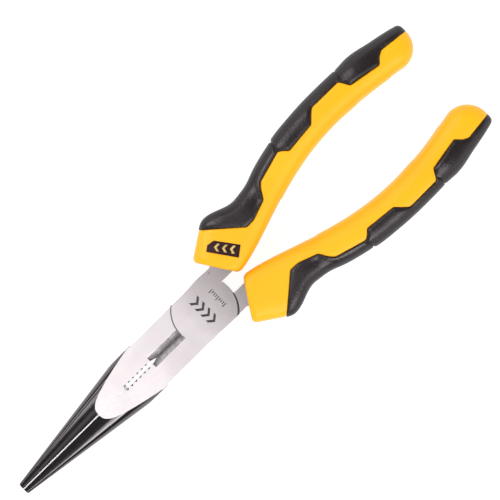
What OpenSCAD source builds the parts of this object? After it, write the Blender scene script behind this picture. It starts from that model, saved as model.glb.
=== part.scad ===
// Long-nose pliers with a lap joint, a side cutter and two-material sleeve grips.
// The origin is on the pivot axis in the plane of the joint's rear face.
// +X points to the jaw tips, +Z out of the joint's front face, and the jaws open along Y.
// The front lever has its jaw at +Y and its handle at -Y; the rear lever is the front one turned
// half a turn about the pliers' long axis.

/* [Joint] */
// Thickness of the head across both laps
head_t = 10.4; // [9:0.1:12]
// Width of the parallel part of the head
head_w = 18.5; // [17:0.1:20]
// Radius of the round lap on each lever
boss_r = 11.3; // [10.8:0.1:12]
// Radius of the rivet's shank
rivet_r = 3.6; // [3:0.1:4.5]
// Radius of the rivet's countersunk ends
rivet_head_r = 4.8; // [4:0.1:5.5]
// Depth of the countersinks
rivet_head_h = 1.2; // [0.6:0.1:1.5]
// Running gap between faces that slide past each other
lap_gap = 0.1; // [0.05:0.01:0.2]
// Running gap around the shank in the rear lever
shank_gap = 0.05; // [0.02:0.01:0.1]

/* [Jaws] */
// Distance from the pivot to the jaw tips
jaw_l = 86.5; // [75:0.5:95]
// Half width of the closed nose at the tips
tip_w = 2.2; // [1.6:0.1:3]
// Half height of the nose at the tips
tip_h = 1.5; // [1:0.1:2.5]
// Distance from the pivot to where the nose taper starts
taper_x = 36.5; // [32:0.5:42]
// Distance from the pivot to where the round nose runs out into the flat head
round_x = 26; // [22:0.5:30]
// Roundness of the nose section, where 2 is an ellipse
nose_n = 3; // [2.4:0.1:4]
// Gap between the closed gripping faces
jaw_gap = 0.14; // [0.08:0.01:0.3]
// Pitch of the teeth across the gripping faces
tooth_pitch = 1.5; // [1:0.1:2.5]
// Depth of those teeth
tooth_h = 0.25; // [0.1:0.05:0.5]

/* [Pipe grip and cutter] */
// Distance from the pivot to the front of the pipe grip
pipe_x = 37.9; // [36:0.1:40]
// Length of the pipe grip
pipe_l = 12.9; // [10:0.1:14]
// Half width of the pipe grip's opening
pipe_w = 0.75; // [0.5:0.05:1.2]
// Number of teeth in the pipe grip on each jaw
pipe_teeth = 6; // [4:1:8]
// Depth of the grooves between the pipe grip's teeth
pipe_tooth_h = 0.5; // [0.2:0.05:0.8]
// Length of the cutting edges
cutter_l = 13.6; // [10:0.1:15]
// Half width of the cutter's recess at the faces of the head
cutter_w = 2.2; // [1.5:0.1:3]

/* [Handles] */
// Distance from the pivot to the ends of the grips
handle_l = 115.1; // [105:0.1:125]
// Distance of each tang's inner edge from the axis
tang_in = 2.6; // [2:0.1:3.5]
// Thickness of the tang inside its grip
tang_t = 6.4; // [5:0.1:8]
// Half width of the tang inside its grip
tang_w = 4; // [3:0.1:5]
// Distance from the pivot to the end of the tang
tang_l = 96; // [60:1:100]
// Distance behind the pivot of the collar's inner corner
collar_in = 18; // [17:0.1:20]
// Distance behind the pivot of the collar's outer corner
collar_out = 9.1; // [8.5:0.1:11]
// Distance of the collar's shoulder behind the pivot
shoulder_d = 18; // [17:0.1:20]
// Distance of the finger guard's crest behind the pivot
crest_d = 21.5; // [20:0.1:24]
// Distance of the waist behind the pivot
waist_d = 33; // [30:0.5:36]
// Distance of the belly behind the pivot
belly_d = 77; // [70:0.5:84]
// Distance of the heel behind the pivot, where the round end starts
heel_d = 106.5; // [104:0.5:108]

/* [Grip outline, distances from the axis] */
// Outer edge at the collar's corner
collar_w = 14.6; // [13:0.1:16]
// Outer edge at the shoulder
shoulder_w = 20.4; // [19:0.1:21]
// Outer edge at the finger guard's crest
crest_w = 22.2; // [21:0.1:24]
// Outer edge at the waist
waist_w = 19.4; // [18:0.1:20.5]
// Outer edge at the belly
belly_w = 27; // [25:0.1:29]
// Outer edge at the end
end_w = 22.6; // [21:0.1:24]
// Inner edge at the collar
collar_gap = 0.8; // [0.5:0.1:1.5]
// Inner edge at the belly
belly_gap = 13.9; // [12:0.1:15]
// Inner edge at the heel
heel_gap = 10.8; // [9:0.1:12]

/* [Grip thickness and pads] */
// Half thickness of the grip at the collar
collar_t = 7.4; // [6.5:0.1:8.5]
// Half thickness at the belly
belly_t = 8.4; // [7.5:0.1:9.5]
// Half thickness at the heel
heel_t = 7.6; // [6.5:0.1:8.5]
// Roundness of the grip section, where 2 is an ellipse
grip_n = 2.7; // [2.2:0.1:4]
// Thickness of the soft pad
pad_t = 2; // [1.2:0.1:2.5]
// Depth of the badge's pocket under the crown of the grip
badge_t = 1.1; // [0.8:0.1:1.6]

/* [Hidden] */
$fn = 96;
eps = 0.01;                                // lets two solids that join share a little depth
reach = 40;                                // a length past everything, for cutters
mid_z = head_t / 2;
half_w = head_w / 2;
pocket_gap = 0.05;                         // clearance of what is set into the grips
pipe_end = pipe_x - pipe_l;                // where the pipe grip meets the cutter
boss_clear_r = boss_r + lap_gap;
cutter_edge = 0.25;                        // half height of the land left along a cutting edge
cutter_vee = 2;                            // length of the pipe grip's pointed inner end

// ---- Nose and head -------------------------------------------------------------------------

// Half width and half height of the nose at x, both straight tapers.
nose_slope_w = (half_w - tip_w) / (jaw_l - taper_x);
nose_slope_h = (mid_z - tip_h) / taper_x;
function nose_w(x) = tip_w + nose_slope_w * (jaw_l - x);
function nose_h(x) = tip_h + nose_slope_h * (jaw_l - x);
function signed_pow(v, p) = sign(v) * pow(abs(v), p);
function superellipse(a, b, n, sides) = [
    for (i = [0:sides - 1]) let (f = 360 * i / sides)
        [a * signed_pow(cos(f), 2 / n), b * signed_pow(sin(f), 2 / n)]
];

// A thin slice of the nose across the long axis.
module nose_slice(x) {
    translate([x, 0, mid_z]) rotate([90, 0, 90])
        linear_extrude(eps) polygon(superellipse(nose_w(x), nose_h(x), nose_n, 40));
}

// The round tapering nose of both closed jaws.
module nose_form() {
    hull() {
        nose_slice(round_x - eps);
        nose_slice(jaw_l - eps);
    }
}

// Teeth across a straight gripping face between x0 and x1, as outline points.
function tooth_line(x0, x1, y, pitch, depth) = [
    for (i = [0:floor((x1 - x0) / pitch) - 1])
        for (p = [[0, 0], [0.5, depth]]) [x0 + (i + p[0]) * pitch, y + p[1]]
];

// Outline of the front lever's jaw, from the pivot to the tip.
module jaw_outline() {
    grip_y = jaw_gap / 2;
    polygon(concat(
        [[0, half_w], [0, grip_y], [pipe_end - cutter_vee, grip_y], [pipe_end, pipe_w]],
        tooth_line(pipe_end, pipe_x, pipe_w, pipe_l / pipe_teeth, pipe_tooth_h),
        [[pipe_x, pipe_w], [pipe_x + pipe_w, grip_y]],
        tooth_line(pipe_x + 2, jaw_l - 1, grip_y, tooth_pitch, tooth_h),
        [[jaw_l, grip_y], [jaw_l, tip_w], [taper_x, half_w]]
    ));
}

// The bevels that leave a cutting edge at half height: a vee cut from each face of the head.
module cutter_bevels() {
    vee = [[-cutter_w, 0], [-eps, cutter_edge - mid_z], [eps, cutter_edge - mid_z], [cutter_w, 0]];
    for (face = [0, 1])
        translate([pipe_end, 0, head_t / 2]) mirror([0, 0, face]) translate([0, 0, mid_z + eps])
            rotate([90, 0, -90]) linear_extrude(cutter_l) polygon(vee);
}

// ---- Grip form -----------------------------------------------------------------------------

// A half cosine between two values; skew under 1 brings the change forward.
function ease(a, b, t, skew = 1) = a + (b - a) * (1 - cos(180 * pow(max(0, min(1, t)), skew))) / 2;
function part_of(d, d0, d1) = (d - d0) / (d1 - d0);
end_r = handle_l - heel_d;                 // radius of the grip's round end
corner_r = 1.5;                            // radius of the end's outer corner
function outer_edge(d) =
    d < shoulder_d ? collar_w + (shoulder_w - collar_w) * part_of(d, collar_out, shoulder_d) :
    d < crest_d ? shoulder_w + (crest_w - shoulder_w) * sin(90 * part_of(d, shoulder_d, crest_d)) :
    d < waist_d ? ease(crest_w, waist_w, part_of(d, crest_d, waist_d)) :
    d < belly_d ? ease(waist_w, belly_w, part_of(d, waist_d, belly_d), 0.65) :
    belly_w - (belly_w - end_w) * pow(part_of(d, belly_d, handle_l), 2.5)
        - corner_r * (1 - sqrt(max(0, 1 - pow(max(0, part_of(d, handle_l - corner_r, handle_l)), 2))));
function inner_edge(d) =
    d < belly_d ? ease(collar_gap, belly_gap, part_of(d, collar_in, belly_d), 0.75) :
    d < heel_d ? belly_gap - (belly_gap - heel_gap) * pow(part_of(d, belly_d, heel_d), 1.6) :
    heel_gap + end_r * (1 - sqrt(max(0, 1 - pow(part_of(d, heel_d, handle_l), 2))));
function half_thick(d) =
    d < belly_d ? ease(collar_t, belly_t, part_of(d, collar_in, belly_d)) :
    d < heel_d ? ease(belly_t, heel_t, part_of(d, belly_d, heel_d)) :
    heel_t * sqrt(max(0.02, 1 - pow(part_of(d, heel_d, handle_l), 2)));

// Sections run from the slanted collar face to the round end; s is 0 at the collar and 1 at the end.
heel_s = part_of(heel_d, collar_in, handle_l);
body_steps = 24;
end_steps = 6;
section_sides = 20;
grip_stations = concat(
    [for (i = [0:body_steps - 1]) heel_s * i / body_steps],
    [for (i = [0:end_steps]) heel_s + (1 - heel_s) * sin(90 * i / end_steps)]
);
function grip_section(s, inset) =
    let (
        d_in = collar_in + (handle_l - collar_in) * s,
        d_out = collar_out + (handle_l - collar_out) * s,
        a = [-d_in, -inner_edge(d_in)],
        b = [-d_out, -outer_edge(d_out)],
        centre = (a + b) / 2,
        half = (b - a) / 2,
        shrink = max(0.1, 1 - inset / norm(half)),
        tall = max(0.3, half_thick(d_in) - inset)
    )
    [for (p = superellipse(shrink, tall, grip_n, section_sides))
        [centre[0] + half[0] * p[0], centre[1] + half[1] * p[0], mid_z + p[1]]];

// The whole outer form of the front lever's grip, or a smaller one inside it.
module grip_form(inset = 0) {
    first = inset > 0 ? 1 : 0;
    last = len(grip_stations) - 1 - (inset > 0 ? 2 : 0);
    rings = [for (k = [first:last]) grip_section(grip_stations[k], inset)];
    sides = section_sides;
    points = [for (ring = rings) each ring];
    walls = [
        for (k = [0:len(rings) - 2], i = [0:sides - 1]) let (j = (i + 1) % sides)
            each [[k * sides + i, (k + 1) * sides + j, k * sides + j],
                  [k * sides + i, (k + 1) * sides + i, (k + 1) * sides + j]]
    ];
    caps = [
        [for (i = [0:sides - 1]) i],
        [for (i = [sides - 1:-1:0]) (len(rings) - 1) * sides + i],
    ];
    polyhedron(points, concat(walls, caps), convexity = 6);
}

// Outline of the region that the soft pad covers, seen from the front: a wedge behind the collar,
// then three lobes along the outer edge. Distances behind the pivot and from the axis.
module pad_region(grow = 0) {
    edge = [
        [18.2, 20.5], [30, 10.1], [33.5, 10.2], [40.5, 12.7], [42.5, 16.2], [44, 17.8],
        [55, 20.9], [56.5, 20], [58, 18.4], [69.5, 19.4], [71.5, 21.6], [73.5, 23.5],
        [86, 23.3], [88, 19.6], [100, 17.5], [102, 19.8], [104, 20.8], [116, 19.5],
    ];
    offset(delta = grow)
        polygon(concat([for (p = edge) [-p[0], -p[1]]], [[-116, -reach], [-18.2, -reach]]));
}

// Everything outside the core where the pad goes.
module pad_space(grow = 0) {
    difference() {
        translate([0, 0, -reach]) linear_extrude(2 * reach) pad_region(grow);
        grip_form(pad_t + grow);
    }
}

// Outline of the badge: a slanted tablet with one clipped corner.
module badge_outline(grow = 0) {
    offset(delta = grow)
        polygon([[-14.4, -13.6], [-16.2, -14.9], [-18.8, -14.5], [-24.2, -7.2], [-20.8, -4.6]]);
}

module badge_block(grow = 0) {
    translate([0, 0, mid_z + collar_t - badge_t - grow]) linear_extrude(reach) badge_outline(grow);
}

// ---- Levers --------------------------------------------------------------------------------

// Middle line of the grip, which the tang follows.
function mid_line(d) = (inner_edge(d) + outer_edge(d)) / 2;
tang_steps = 8;
tang_d0 = 26;                              // where the tang has reached its inner width
tang_step = 0.3;                           // how far the thinned part stands in from the root's sides

// Outline of the tang seen from the front; grow widens it for the hole in the core.
module tang_outline(grow = 0) {
    stations = [for (i = [0:tang_steps]) tang_d0 + (tang_l - tang_d0) * i / tang_steps];
    offset(delta = grow) polygon(concat(
        [[0, -half_w], [0, -tang_in], [-collar_in, -tang_in]],
        [for (d = stations) [-d, tang_w - mid_line(d)]],
        [for (k = [tang_steps:-1:0]) [-stations[k], -tang_w - mid_line(stations[k])]],
        [[-collar_out - 4, -half_w]]
    ));
}

// The part of the tang that is thinned on all sides to go inside the grip.
module tang_inner(grow = 0) {
    translate([0, 0, mid_z - tang_t / 2 - grow]) linear_extrude(tang_t + 2 * grow)
        tang_outline(grow - tang_step);
}

// The head's full thickness carries on as far as the collar.
module tang_root(grow = 0) {
    translate([0, 0, -grow]) linear_extrude(head_t + 2 * grow) intersection() {
        tang_outline(grow);
        translate([-collar_in - grow, -reach]) square([collar_in + grow, 2 * reach]);
    }
}

module tang(grow = 0) {
    tang_root(grow);
    tang_inner(grow);
}

// Space swept by the other lever's round lap.
module lap_clearance() {
    translate([0, 0, -eps]) cylinder(r = boss_clear_r, h = mid_z + lap_gap / 2 + eps);
}

// The half-thickness round lap, trimmed to the width of the head.
module round_lap() {
    translate([0, 0, mid_z + lap_gap / 2]) linear_extrude(mid_z - lap_gap / 2) intersection() {
        circle(r = boss_r);
        square([reach, head_w], center = true);
    }
}

module jaw() {
    intersection() {
        linear_extrude(head_t) intersection() {
            jaw_outline();
            translate([round_x, 0]) square([jaw_l, reach]);
        }
        nose_form();
    }
    linear_extrude(head_t) intersection() {
        jaw_outline();
        square([round_x, reach]);
    }
}

// One lever without its rivet hole, in the front lever's place.
module lever_blank() {
    difference() {
        union() {
            jaw();
            tang();
        }
        lap_clearance();
        cutter_bevels();
    }
    round_lap();
}

// Rivet hole with its countersink at the outer face; gap is the radial running gap.
module rivet_hole(gap) {
    translate([0, 0, -eps]) cylinder(r = rivet_r + gap, h = head_t + 2 * eps);
    translate([0, 0, head_t - rivet_head_h - gap])
        cylinder(r1 = rivet_r + gap, r2 = rivet_head_r + gap, h = rivet_head_h + gap);
}

// Turns a front-lever piece into the matching rear-lever piece.
module to_rear() {
    translate([0, 0, head_t]) rotate([180, 0, 0]) children();
}

module front_lever() {
    color("silver") difference() {
        lever_blank();
        rivet_hole(0);
    }
}

module rear_lever() {
    color("lightgray") to_rear() difference() {
        lever_blank();
        rivet_hole(shank_gap);
    }
}

// Shank with a head spun into each countersink and ground flush.
module pivot_rivet() {
    color("gainsboro") rotate_extrude() polygon([
        [0, 0], [rivet_head_r, 0], [rivet_r, rivet_head_h], [rivet_r, head_t - rivet_head_h],
        [rivet_head_r, head_t], [0, head_t],
    ]);
}

// ---- Grips ---------------------------------------------------------------------------------

module grip_core() {
    resize([0, 0, 0]) difference() {
        grip_form();
        pad_space(pocket_gap);
        tang(pocket_gap);
    }
}

module grip_pad() {
    resize([0, 0, 0]) intersection() {
        grip_form();
        pad_space();
    }
}

module front_grip_core() {
    color("gold") resize([0, 0, 0]) difference() {
        grip_core();
        badge_block(pocket_gap);
    }
}

module rear_grip_core() {
    color("gold") to_rear() grip_core();
}

module front_grip_pad() {
    color("dimgray") grip_pad();
}

module rear_grip_pad() {
    color("dimgray") to_rear() grip_pad();
}

module grip_badge() {
    color("maroon") resize([0, 0, 0]) intersection() {
        grip_form();
        badge_block();
    }
}

front_lever();
rear_lever();
pivot_rivet();
front_grip_core();
rear_grip_core();
front_grip_pad();
rear_grip_pad();
grip_badge();
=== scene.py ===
"""Long-nose pliers with a lap joint, a pipe grip, a side cutter and two-material sleeve grips.

All the shapes are worked out in millimetres in the frame's own axes: +X to the jaw tips, +Z out of the
joint's front face, origin on the pivot in the plane of the rear face. "d" is a distance behind the pivot
and "w" a distance from the long axis. Every lever and grip is worked out in the front lever's place, with
its jaw at +Y and its handle at -Y; the rear one is the same shape turned half a turn about the long axis.
"""

import bmesh
import bpy
import numpy as np
from mathutils import Matrix, Vector


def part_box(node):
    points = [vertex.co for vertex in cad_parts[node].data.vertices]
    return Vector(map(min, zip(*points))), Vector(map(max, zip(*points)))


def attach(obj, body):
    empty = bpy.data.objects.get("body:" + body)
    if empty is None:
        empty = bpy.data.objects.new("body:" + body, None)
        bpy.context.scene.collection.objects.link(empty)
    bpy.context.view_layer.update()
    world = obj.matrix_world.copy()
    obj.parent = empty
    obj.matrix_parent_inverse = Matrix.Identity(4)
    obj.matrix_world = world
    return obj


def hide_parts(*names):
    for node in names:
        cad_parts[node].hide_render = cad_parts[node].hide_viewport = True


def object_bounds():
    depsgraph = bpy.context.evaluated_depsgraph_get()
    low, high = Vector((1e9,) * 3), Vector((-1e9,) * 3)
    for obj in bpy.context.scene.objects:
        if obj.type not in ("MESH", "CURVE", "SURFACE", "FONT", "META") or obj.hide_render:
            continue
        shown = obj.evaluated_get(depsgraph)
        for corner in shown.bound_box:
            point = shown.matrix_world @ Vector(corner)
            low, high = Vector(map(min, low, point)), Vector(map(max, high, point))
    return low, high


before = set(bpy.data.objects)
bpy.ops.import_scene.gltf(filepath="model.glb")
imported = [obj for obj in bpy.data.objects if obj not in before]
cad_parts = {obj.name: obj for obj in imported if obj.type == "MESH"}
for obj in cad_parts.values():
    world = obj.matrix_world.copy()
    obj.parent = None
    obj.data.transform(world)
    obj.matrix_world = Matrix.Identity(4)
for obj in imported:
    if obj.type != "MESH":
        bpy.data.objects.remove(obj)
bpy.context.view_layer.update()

MM = 0.001


def span(node):
    """Lowest and highest corner of a CAD node, in millimetres."""
    low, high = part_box(node)
    return np.array(low) / MM, np.array(high) / MM


# ---- Sizes ---------------------------------------------------------------------------------------
RIVET_HEAD_R, _, HEAD_T = span("pivot_rivet")[1]   # radius of the rivet's ends, thickness of the head
JAW_L, HALF_W, _ = span("front_lever")[1]          # pivot to jaw tips, half width of the head
HANDLE_L = -span("front_grip_core")[0][0]          # pivot to the ends of the grips
MID = HEAD_T / 2
BOSS_R = 11.3                          # round lap
LAP_GAP = 0.1
RIVET_R = 3.6
RIVET_HEAD_H = 1.2
RIVET_FIT = 0.012                      # clearance round the rivet, which shows as a hairline
JOINT_VEE = 0.16                       # depth of the fine vee along the joint line
JOINT_LEAN = (-0.12, -0.55)            # how far the joint line is opened towards one side, along X and Y
ETCH = 0.1                             # depth of the etched marks

# The nose and the gripping faces.
SEAM = 0.01                            # half of the gap seen between the closed jaws
TIP_W, TIP_H = 2.2, 1.5                # half width and half height of the nose at the tips
TIP_R = 0.35                           # rounding of the tips' ends
TAPER_X = 36.5                         # where the nose starts to taper
ROUND_X = 26.0                         # where the round nose runs out into the flat head
NOSE_N = 3.0                           # exponent of the nose's superellipse
SIDE_BREAK = 0.25                      # edge break of the head's flat part
BEVEL_FROM, BEVEL_TO = 47, 51          # stretch over which the inner edges widen towards the nose
TOP_EDGE, TOP_EDGE_RISE = 0.04, 0.19   # width of the top inner edge's bevel, and its growth on the nose
LOW_EDGE, LOW_EDGE_RISE = 0.12, 0.04   # the same for the bottom one
BEVEL_SLOPE = np.tan(np.radians(30))   # of the inner edges
TOOTH_PITCH, TOOTH_H = 1.5, 0.22       # teeth across the gripping faces
SMOOTH_TIP = 1.2                       # length without teeth at the tips
PIPE_FRONT, PIPE_BACK = 37.7, 25.0     # the pipe grip's two ends
PIPE_W = 0.62                          # half width of the pipe grip between its notches
PIPE_WALL = 0.05                       # length over which the pipe grip's front end opens
PIPE_POINT = 2                         # length of the point where it runs out into the cutter
STRAIGHT_X = PIPE_FRONT + 2            # where the straight, toothed stretch starts
NOTCH_D, NOTCH_W, NOTCHES = 0.5, 0.55, 6   # depth, half width and number of its notches
NOTCH_FIRST, NOTCH_PITCH = 37.0, 2.02
CUTTER_W = 2.2                         # half width of the cutter's recess
CUTTER_LAND = 0.25                     # half height of the land along a cutting edge

# The tangs and the grips. END_R is the radius of the round end and CORNER_R that of its outer corner.
TANG_IN = 2.6                          # inner edge of the tangs
TANG_T, TANG_W, TANG_L = 6.4, 3.7, 96.0
SOCKET_FIT = 0.12                      # room for the tang inside a sleeve
COLLAR_IN, COLLAR_OUT = 17.4, 8.5      # the collar's slanted front face
COLLAR_ROUND = 1.3                     # rounding of its rim
CREST_D, WAIST_D, BELLY_D, HEEL_D = 21.5, 33.0, 77.0, 106.5
END_R = HANDLE_L - HEEL_D
CORNER_R = 1.5
COLLAR_W, SHOULDER_W, CREST_W, WAIST_W, BELLY_W, END_W = 14.55, 20.5, 22.2, 19.4, 27.0, 22.6
COLLAR_GAP, BELLY_GAP, HEEL_GAP = 0.8, 13.9, 10.8
COLLAR_H, BELLY_H, HEEL_H = 7.4, 8.4, 7.6
COLLAR_N, N_FALL = 4.2, 1.4            # exponent of the sections at the collar, and its fall to the palm
PALM_FROM, PALM_TO = 24, 48            # where it falls
LEAST_W, LEAST_H = 0.15, 0.12          # least half width and half height of a section, at the very end
STATIONS_L, STATION = 85, 0.22         # length that the sections are counted over, and their spacing
PANEL_H, PANEL_EDGE = 0.2, 0.6         # height and length of the steps along the sleeve's inner side
PAD_T, PAD_FIT = 2.0, 0.02             # thickness of the pad, and its clearance over its bed
PAD_START = 18.2
PAD_START_ANGLE = 0.02                 # sections with a narrower pad than this have none
PAD_WEDGE = 6                          # the pad thins where its arc is shorter than this
CREASES = (54.6, 86.2)                 # where the pad's two rear lobes start


# ---- Mesh helpers --------------------------------------------------------------------------------
def new_object(name, mesh):
    """An object in the scene around a mesh or a lamp's or camera's data."""
    obj = bpy.data.objects.new(name, mesh)
    bpy.context.scene.collection.objects.link(obj)
    return obj


def signed_volume(points, quads):
    """Six times the volume of a closed quad mesh: the sum of each triangle's triple product."""
    a, b, c, d = (points[quads[:, k]] for k in range(4))
    return np.einsum("ij,ij->", a, np.cross(b, c)) + np.einsum("ij,ij->", a, np.cross(c, d))


def skin(name, rings):
    """Closed solid through a stack of closed rings, an array of (rings, points, 3) in millimetres: quads
    between neighbouring rings and one flat cap at each end, turned round if the volume is negative."""
    rows, cols = rings.shape[:2]
    i, j = np.meshgrid(np.arange(rows - 1), np.arange(cols), indexing="ij")
    k = (j + 1) % cols
    quads = np.stack([i * cols + j, i * cols + k, (i + 1) * cols + k, (i + 1) * cols + j], -1)
    quads = quads.reshape(-1, 4)
    points = rings.reshape(-1, 3)
    ends = [np.arange(cols)[::-1], (rows - 1) * cols + np.arange(cols)]
    centre = points.mean(0)
    if signed_volume(points - centre, quads) < 0:
        quads = quads[:, ::-1]
        ends = [e[::-1] for e in ends]
    mesh = bpy.data.meshes.new(name)
    mesh.from_pydata((points * MM).tolist(), [], quads.tolist() + [e.tolist() for e in ends])
    obj = new_object(name, mesh)
    clean(obj)
    return obj


def clean(obj, gap=1e-7):
    """Merges points closer than gap metres and drops the faces that this leaves without an area."""
    work = bmesh.new()
    work.from_mesh(obj.data)
    bmesh.ops.remove_doubles(work, verts=work.verts, dist=gap)
    bmesh.ops.dissolve_degenerate(work, dist=gap, edges=work.edges)
    work.to_mesh(obj.data)
    work.free()


def combine(obj, tool, operation):
    """Union, difference or intersection with another closed solid, which is used up."""
    step = obj.modifiers.new("join", "BOOLEAN")
    step.operation = operation
    step.object = tool
    step.solver = "MANIFOLD"
    graph = bpy.context.evaluated_depsgraph_get()
    mesh = bpy.data.meshes.new_from_object(obj.evaluated_get(graph))
    obj.modifiers.clear()
    old, obj.data = obj.data, mesh
    bpy.data.meshes.remove(old)
    bpy.data.objects.remove(tool)


def to_rear(obj):
    """Turns a front-lever shape into the rear lever's: half a turn about the long axis at mid height."""
    turn = Matrix.Translation((0, 0, HEAD_T * MM)) @ Matrix.Rotation(np.pi, 4, "X")
    obj.data.transform(turn)


def smooth(obj, angle):
    """Smooth shading with sharp edges over angle, in degrees. An edge between a face square to an axis and
    one that isn't is sharp too, so that the wide flat faces shade evenly right up to their bevels."""
    mesh = obj.data
    mesh.shade_smooth()
    mesh.set_sharp_from_angle(angle=np.radians(angle))
    square = np.abs(face_data(mesh)[1]).max(1) > 0.9999    # normals along an axis
    sides = np.empty(len(mesh.polygons), dtype=np.int32)
    edges = np.empty(len(mesh.loops), dtype=np.int32)
    mesh.polygons.foreach_get("loop_total", sides)
    mesh.loops.foreach_get("edge_index", edges)
    meets = np.bincount(edges, weights=np.repeat(square, sides), minlength=len(mesh.edges))
    sharp = np.empty(len(mesh.edges), dtype=bool)
    mesh.edges.foreach_get("use_edge_sharp", sharp)
    mesh.edges.foreach_set("use_edge_sharp", sharp | (meets == 1))


def face_data(mesh):
    """Centres in millimetres and unit normals of a mesh's faces, as arrays."""
    count = len(mesh.polygons)
    centres, normals = np.empty(count * 3), np.empty(count * 3)
    mesh.polygons.foreach_get("center", centres)
    mesh.polygons.foreach_get("normal", normals)
    return centres.reshape(-1, 3) / MM, normals.reshape(-1, 3)


# ---- Outline helpers -----------------------------------------------------------------------------
def smoothstep(x, a, b):
    """0 before a, 1 after b, and 3t^2 - 2t^3 between them."""
    t = np.clip((x - a) / (b - a), 0, 1)
    return t * t * (3 - 2 * t)


def arc(cx, cy, r, a0, a1, steps):
    """Points on a circular arc from angle a0 to a1, in degrees."""
    a = np.radians(np.linspace(a0, a1, steps))
    return np.stack([cx + r * np.cos(a), cy + r * np.sin(a)], -1)


def counter_clockwise(outline):
    """The outline itself, or turned round if its area comes out negative."""
    after = np.roll(outline, -1, 0)
    area = np.sum(outline[:, 0] * after[:, 1] - after[:, 0] * outline[:, 1])
    return outline if area > 0 else outline[::-1]


def inset(outline, amount):
    """Moves each side of a counter-clockwise outline inwards by amount, meeting at mitred corners."""
    side = np.roll(outline, -1, 0) - outline
    side = side / np.linalg.norm(side, axis=1, keepdims=True)
    normal = np.stack([-side[:, 1], side[:, 0]], -1)
    before = np.roll(normal, 1, 0)
    mitre = (normal + before) / (1 + np.sum(normal * before, 1, keepdims=True))
    return outline + amount * mitre


def plate(name, outline, z0, z1, bevel=0.0):
    """Flat solid over an outline from z0 to z1, with each rim broken by a two-step bevel."""
    outline = counter_clockwise(outline)
    levels = [(z0, 0.0), (z1, 0.0)]
    if bevel:
        bend = bevel * 0.3
        low = [(z0, bevel), (z0 + bend, bend), (z0 + bevel, 0.0)]
        levels = low + [(z1 + z0 - z, r) for z, r in low[::-1]]
    rings = [np.c_[inset(outline, r), np.full(len(outline), z)] for z, r in levels]
    return skin(name, np.array(rings))


def turned(name, profile, steps=144):
    """Solid of revolution about the pivot, from a list of (radius, height)."""
    a = np.linspace(0, 2 * np.pi, steps, endpoint=False)
    rings = [np.c_[r * np.cos(a), r * np.sin(a), np.full(steps, z)] for r, z in profile]
    return skin(name, np.array(rings))


# ---- Jaws ----------------------------------------------------------------------------------------
def nose_size(x):
    """Half width and half height of the nose's superellipse at x: both are straight tapers."""
    back = JAW_L - x
    a = TIP_W + (HALF_W - TIP_W) / (JAW_L - TAPER_X) * back
    h = TIP_H + (MID - TIP_H) / TAPER_X * back
    return a, h


def zigzag(phase):
    """Symmetric saw: 0 at whole numbers and 1 half-way between them."""
    return 1 - np.abs(2 * (phase % 1) - 1)


def gripping_face(x, height):
    """Distance of the gripping face from the jaws' parting plane, for x and a height over mid thickness.
    The straight part carries shallow cross teeth, which fade out before its rims. The pipe grip's vee
    notches deepen from mid thickness to the faces, and the cutter's two bevels meet in a narrow land. The
    pipe grip runs out into the cutter in a point."""
    fade = np.clip((np.minimum(nose_size(x)[1], MID) - np.abs(height) - 0.3) / 0.6, 0, 1)
    teeth = TOOTH_H * fade * zigzag((x - PIPE_FRONT) / TOOTH_PITCH)
    straight = SEAM + np.where(x > STRAIGHT_X, teeth, 0)
    straight = np.where(x > JAW_L - SMOOTH_TIP, SEAM, straight)
    nearest = np.clip(np.round((NOTCH_FIRST - x) / NOTCH_PITCH), 0, NOTCHES - 1)
    notch = NOTCH_D * np.clip(1 - np.abs(NOTCH_FIRST - NOTCH_PITCH * nearest - x) / NOTCH_W, 0, 1)
    notch = notch * np.abs(height) / MID
    run_in = np.clip((PIPE_FRONT + PIPE_WALL - x) / PIPE_WALL, 0, 1)
    pipe = np.where(x > PIPE_BACK, run_in * (PIPE_W + np.where(x < PIPE_FRONT, notch, 0)), 0)
    point = np.clip((x - PIPE_BACK + PIPE_POINT) / PIPE_POINT, 0, 1) * PIPE_W * (x <= PIPE_BACK)
    bevel = CUTTER_W * (np.abs(height) - CUTTER_LAND) / (MID - CUTTER_LAND) * (x < PIPE_BACK)
    return np.maximum.reduce([straight + 0 * height, pipe + 0 * height, point + 0 * height, bevel])


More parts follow.
